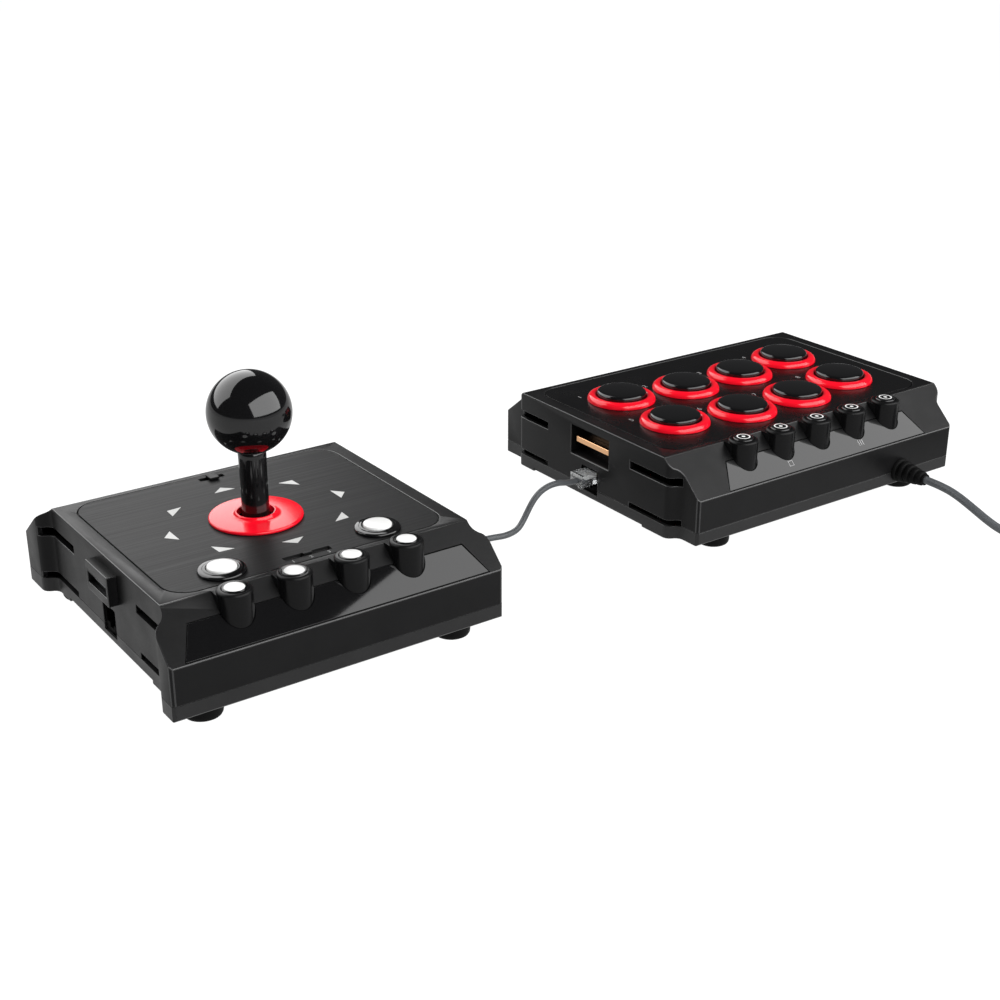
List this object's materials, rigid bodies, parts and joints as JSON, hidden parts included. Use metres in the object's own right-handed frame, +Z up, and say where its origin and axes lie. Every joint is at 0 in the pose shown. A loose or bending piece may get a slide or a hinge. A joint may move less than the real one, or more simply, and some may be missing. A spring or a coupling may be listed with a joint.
{
  "type": "arcade fight stick",
  "caption": "Two-case arcade controller: a ball-top lever case and an action button case, joined by a short link cord, with a coiled USB lead.",
  "frame": {"origin": "under the middle of the two cases, on the table plane; the cords and what is on them are left out of that middle", "axes": "+X from the lever case to the button case, +Y to the rear, +Z up; the fronts with the keys face -Y"},
  "size_m": [0.5196, 0.2542, 0.1116],
  "materials": {
    "shell_black": "satin moulded ABS",
    "base_grey": "satin moulded ABS",
    "brushed_panel": "fine brushed dark film",
    "dark_panel": "smooth dark film",
    "slope_gloss": "high gloss",
    "red_gloss": "gloss",
    "black_gloss": "high gloss",
    "white_cap": "satin white",
    "black_key": "gloss",
    "rubber_black": "matt rubber",
    "cord_grey": "smooth flexible jacket",
    "steel": "turned steel",
    "zinc": "die cast",
    "board_green": "solder mask",
    "copper": "rolled copper strip",
    "clear": "clear polycarbonate",
    "inner_white": "acetal",
    "inner_black": "glass-filled nylon"
  },
  "bodies": {
    "root": {"stick_top_shell": "shell_black", "stick_base_shell": "base_grey", "stick_top_panel": "brushed_panel", "stick_slope_plate": "slope_gloss", "dust_washer": "red_gloss", "round_button_bezels": "black_gloss", "lever_housing": "inner_black", "lever_board": "board_green", "lever_switches": "inner_black", "restrictor_gate": "inner_white", "lever_screws": "steel", "stick_front_board": "board_green", "rear_switch_board": "board_green", "button_top_shell": "shell_black", "button_base_shell": "base_grey", "button_top_panel": "dark_panel", "button_slope_plate": "slope_gloss", "action_housings": "red_gloss", "action_switches": "inner_black", "button_main_board": "board_green", "button_key_board": "board_green", "contact_bars": "copper", "rubber_feet": "rubber_black", "case_screws": "steel", "link_jacks": "inner_black", "link_plugs": "clear", "link_cord": "cord_grey", "usb_boot": "rubber_black", "usb_cord": "cord_grey", "usb_coil": "cord_grey", "usb_tail": "cord_grey", "usb_plug": "inner_black"},
    "gimbal": {"gimbal_ring": "zinc"},
    "lever": {"lever_shaft": "steel", "shaft_sleeve": "black_gloss", "ball_top": "black_gloss", "lever_actuator": "inner_white", "lever_spring": "steel", "shaft_clip": "steel"},
    "round_button_left": {"round_button_left": "white_cap"},
    "round_button_right": {"round_button_right": "white_cap"},
    "mode_slider": {"mode_slider": "black_key"},
    "rear_slider": {"rear_slider": "black_key"},
    "stick_key_1": {"stick_key_1": "white_cap"},
    "stick_key_2": {"stick_key_2": "white_cap"},
    "stick_key_3": {"stick_key_3": "white_cap"},
    "stick_key_4": {"stick_key_4": "white_cap"},
    "action_button_1": {"action_button_1": "black_gloss"},
    "action_button_2": {"action_button_2": "black_gloss"},
    "action_button_3": {"action_button_3": "black_gloss"},
    "action_button_4": {"action_button_4": "black_gloss"},
    "action_button_5": {"action_button_5": "black_gloss"},
    "action_button_6": {"action_button_6": "black_gloss"},
    "action_button_7": {"action_button_7": "black_gloss"},
    "action_button_8": {"action_button_8": "black_gloss"},
    "button_key_1": {"button_key_1": "black_key"},
    "button_key_2": {"button_key_2": "black_key"},
    "button_key_3": {"button_key_3": "black_key"},
    "button_key_4": {"button_key_4": "black_key"},
    "button_key_5": {"button_key_5": "black_key"}
  },
  "joints": [
    {"name": "lever_pitch", "type": "hinge", "parent": "root", "child": "gimbal", "pos_m": [-0.1475, -0.00705, 0.0435], "axis": [1, 0, 0], "range_deg": [-8, 8], "stiffness_Nm_per_rad": 0.5},
    {"name": "lever_roll", "type": "hinge", "parent": "gimbal", "child": "lever", "pos_m": [-0.1475, -0.00705, 0.0435], "axis": [0, 1, 0], "range_deg": [-8, 8], "stiffness_Nm_per_rad": 0.5},
    {"name": "action_button_1_press", "type": "slide", "parent": "root", "child": "action_button_1", "axis": [0, 0, -1], "range_m": [0, 0.0025], "stiffness_N_per_m": 200, "springref_m": -0.0025},
    {"name": "action_button_2_press", "type": "slide", "parent": "root", "child": "action_button_2", "axis": [0, 0, -1], "range_m": [0, 0.0025], "stiffness_N_per_m": 200, "springref_m": -0.0025},
    {"name": "action_button_3_press", "type": "slide", "parent": "root", "child": "action_button_3", "axis": [0, 0, -1], "range_m": [0, 0.0025], "stiffness_N_per_m": 200, "springref_m": -0.0025},
    {"name": "action_button_4_press", "type": "slide", "parent": "root", "child": "action_button_4", "axis": [0, 0, -1], "range_m": [0, 0.0025], "stiffness_N_per_m": 200, "springref_m": -0.0025},
    {"name": "action_button_5_press", "type": "slide", "parent": "root", "child": "action_button_5", "axis": [0, 0, -1], "range_m": [0, 0.0025], "stiffness_N_per_m": 200, "springref_m": -0.0025},
    {"name": "action_button_6_press", "type": "slide", "parent": "root", "child": "action_button_6", "axis": [0, 0, -1], "range_m": [0, 0.0025], "stiffness_N_per_m": 200, "springref_m": -0.0025},
    {"name": "action_button_7_press", "type": "slide", "parent": "root", "child": "action_button_7", "axis": [0, 0, -1], "range_m": [0, 0.0025], "stiffness_N_per_m": 200, "springref_m": -0.0025},
    {"name": "action_button_8_press", "type": "slide", "parent": "root", "child": "action_button_8", "axis": [0, 0, -1], "range_m": [0, 0.0025], "stiffness_N_per_m": 200, "springref_m": -0.0025},
    {"name": "round_button_left_press", "type": "slide", "parent": "root", "child": "round_button_left", "axis": [0, 0, -1], "range_m": [0, 0.0008], "stiffness_N_per_m": 600, "springref_m": -0.001},
    {"name": "round_button_right_press", "type": "slide", "parent": "root", "child": "round_button_right", "axis": [0, 0, -1], "range_m": [0, 0.0008], "stiffness_N_per_m": 600, "springref_m": -0.001},
    {"name": "stick_key_1_press", "type": "slide", "parent": "root", "child": "stick_key_1", "axis": [0, 0, -1], "range_m": [0, 0.0008], "stiffness_N_per_m": 600, "springref_m": -0.001},
    {"name": "stick_key_2_press", "type": "slide", "parent": "root", "child": "stick_key_2", "axis": [0, 0, -1], "range_m": [0, 0.0008], "stiffness_N_per_m": 600, "springref_m": -0.001},
    {"name": "stick_key_3_press", "type": "slide", "parent": "root", "child": "stick_key_3", "axis": [0, 0, -1], "range_m": [0, 0.0008], "stiffness_N_per_m": 600, "springref_m": -0.001},
    {"name": "stick_key_4_press", "type": "slide", "parent": "root", "child": "stick_key_4", "axis": [0, 0, -1], "range_m": [0, 0.0008], "stiffness_N_per_m": 600, "springref_m": -0.001},
    {"name": "button_key_1_press", "type": "slide", "parent": "root", "child": "button_key_1", "axis": [0, 0, -1], "range_m": [0, 0.0008], "stiffness_N_per_m": 600, "springref_m": -0.001},
    {"name": "button_key_2_press", "type": "slide", "parent": "root", "child": "button_key_2", "axis": [0, 0, -1], "range_m": [0, 0.0008], "stiffness_N_per_m": 600, "springref_m": -0.001},
    {"name": "button_key_3_press", "type": "slide", "parent": "root", "child": "button_key_3", "axis": [0, 0, -1], "range_m": [0, 0.0008], "stiffness_N_per_m": 600, "springref_m": -0.001},
    {"name": "button_key_4_press", "type": "slide", "parent": "root", "child": "button_key_4", "axis": [0, 0, -1], "range_m": [0, 0.0008], "stiffness_N_per_m": 600, "springref_m": -0.001},
    {"name": "button_key_5_press", "type": "slide", "parent": "root", "child": "button_key_5", "axis": [0, 0, -1], "range_m": [0, 0.0008], "stiffness_N_per_m": 600, "springref_m": -0.001},
    {"name": "mode_slide", "type": "slide", "parent": "root", "child": "mode_slider", "axis": [1, 0, 0], "range_m": [-0.0075, 0.0075]},
    {"name": "rear_slide", "type": "slide", "parent": "root", "child": "rear_slider", "axis": [1, 0, 0], "range_m": [-0.003, 0.003]}
  ]
}
